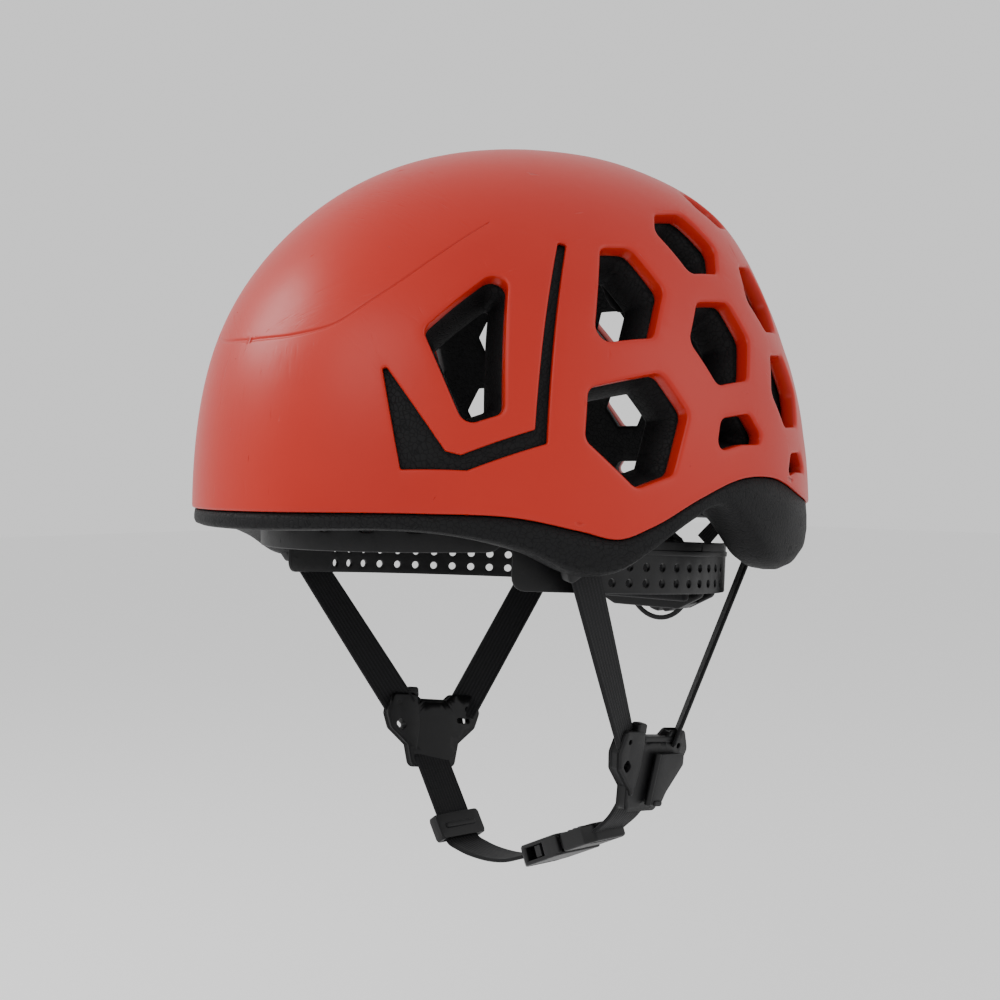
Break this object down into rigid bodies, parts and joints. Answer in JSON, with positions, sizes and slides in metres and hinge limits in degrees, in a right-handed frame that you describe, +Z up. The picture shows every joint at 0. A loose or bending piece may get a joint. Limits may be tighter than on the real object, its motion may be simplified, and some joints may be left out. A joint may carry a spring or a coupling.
{
  "type": "climbing helmet",
  "caption": "Vented climbing helmet: hard shell over foam, geared head band, strap dividers and side-release chin buckle.",
  "frame": {"origin": "centre of the head opening, level with the front of the brim", "axes": "+Z up, the front of the helmet faces -Y, the wearer's left is +X"},
  "size_m": [0.2096, 0.2659, 0.2902],
  "materials": {
    "shell": "satin",
    "foam": "moulded bead foam",
    "pad": "brushed knit",
    "webbing": "woven",
    "band": "soft satin",
    "moulding": "fine grain",
    "screw": "blackened",
    "spring": "plain"
  },
  "bodies": {
    "helmet": {"outer_shell": "shell", "front_anchors": "moulding", "rear_anchors": "moulding", "strap_front_left": "webbing", "strap_front_right": "webbing", "strap_rear_left": "webbing", "strap_rear_right": "webbing", "headband_front": "band", "temple_pins": "moulding", "foam_liner": "foam", "brow_pad": "pad", "crown_pad_centre": "pad", "crown_pad_left": "pad", "crown_pad_right": "pad", "hanger_left": "webbing", "hanger_right": "webbing", "divider_left": "moulding", "divider_right": "moulding", "chin_strap_left": "webbing", "chin_strap_right": "webbing", "buckle_socket": "moulding", "buckle_plug": "moulding"},
    "cradle": {"side_band_left": "band", "side_band_right": "band", "cradle_housing": "moulding", "cradle_cover": "moulding", "cover_screws": "screw", "wheel_detent": "spring", "nape_pad": "pad"},
    "wheel": {"adjuster_wheel": "moulding", "wheel_pinion": "moulding"},
    "rack_left": {"rack_left": "band"},
    "rack_right": {"rack_right": "band"},
    "lock_left": {"divider_lock_left": "moulding"},
    "lock_right": {"divider_lock_right": "moulding"},
    "slider": {"strap_slider": "moulding"},
    "prong_rear": {"buckle_prong_rear": "moulding"},
    "prong_front": {"buckle_prong_front": "moulding"}
  },
  "joints": [
    {"name": "cradle_tilt", "type": "hinge", "parent": "helmet", "child": "cradle", "pos_m": [0, -0.045, -0.006], "axis": [1, 0, 0], "range_deg": [-6, 10], "deforming": ["hanger_left", "hanger_right"]},
    {"name": "wheel_turn", "type": "hinge", "parent": "cradle", "child": "wheel", "pos_m": [0, 0.0815, -0.024], "axis": [0, 1, 0], "range_deg": [-110, 110]},
    {"name": "rack_left_slide", "type": "slide", "parent": "cradle", "child": "rack_left", "axis": [1, 0, 0], "range_m": [-0.0098, 0.0098], "deforming": ["side_band_left"]},
    {"name": "rack_right_slide", "type": "slide", "parent": "cradle", "child": "rack_right", "axis": [-1, 0, 0], "range_m": [-0.0098, 0.0098], "deforming": ["side_band_right"]},
    {"name": "lock_left_flip", "type": "hinge", "parent": "helmet", "child": "lock_left", "pos_m": [0.06918, 0.01699, -0.08287], "axis": [-0.152, -0.1459, -0.9775], "range_deg": [0, 100]},
    {"name": "lock_right_flip", "type": "hinge", "parent": "helmet", "child": "lock_right", "pos_m": [-0.06918, 0.01699, -0.08287], "axis": [-0.152, 0.1459, 0.9775], "range_deg": [0, 100]},
    {"name": "slider_slide", "type": "slide", "parent": "helmet", "child": "slider", "axis": [-0.5378, 0, 0.8431], "range_m": [0, 0.012]},
    {"name": "prong_rear_press", "type": "hinge", "parent": "helmet", "child": "prong_rear", "pos_m": [0.02959, 0.0192, -0.12543], "axis": [-0.3827, 0, 0.9239], "range_deg": [0, 9], "stiffness_Nm_per_rad": 0.05},
    {"name": "prong_front_press", "type": "hinge", "parent": "helmet", "child": "prong_front", "pos_m": [0.02959, 0.0028, -0.12543], "axis": [0.3827, 0, -0.9239], "range_deg": [0, 9], "stiffness_Nm_per_rad": 0.05}
  ],
  "couplings": [
    {"joint": "rack_left_slide", "follows": "wheel_turn", "m_per_rad": 0.005},
    {"joint": "rack_right_slide", "follows": "wheel_turn", "m_per_rad": 0.005},
    {"joint": "prong_front_press", "follows": "prong_rear_press", "ratio": 1}
  ]
}
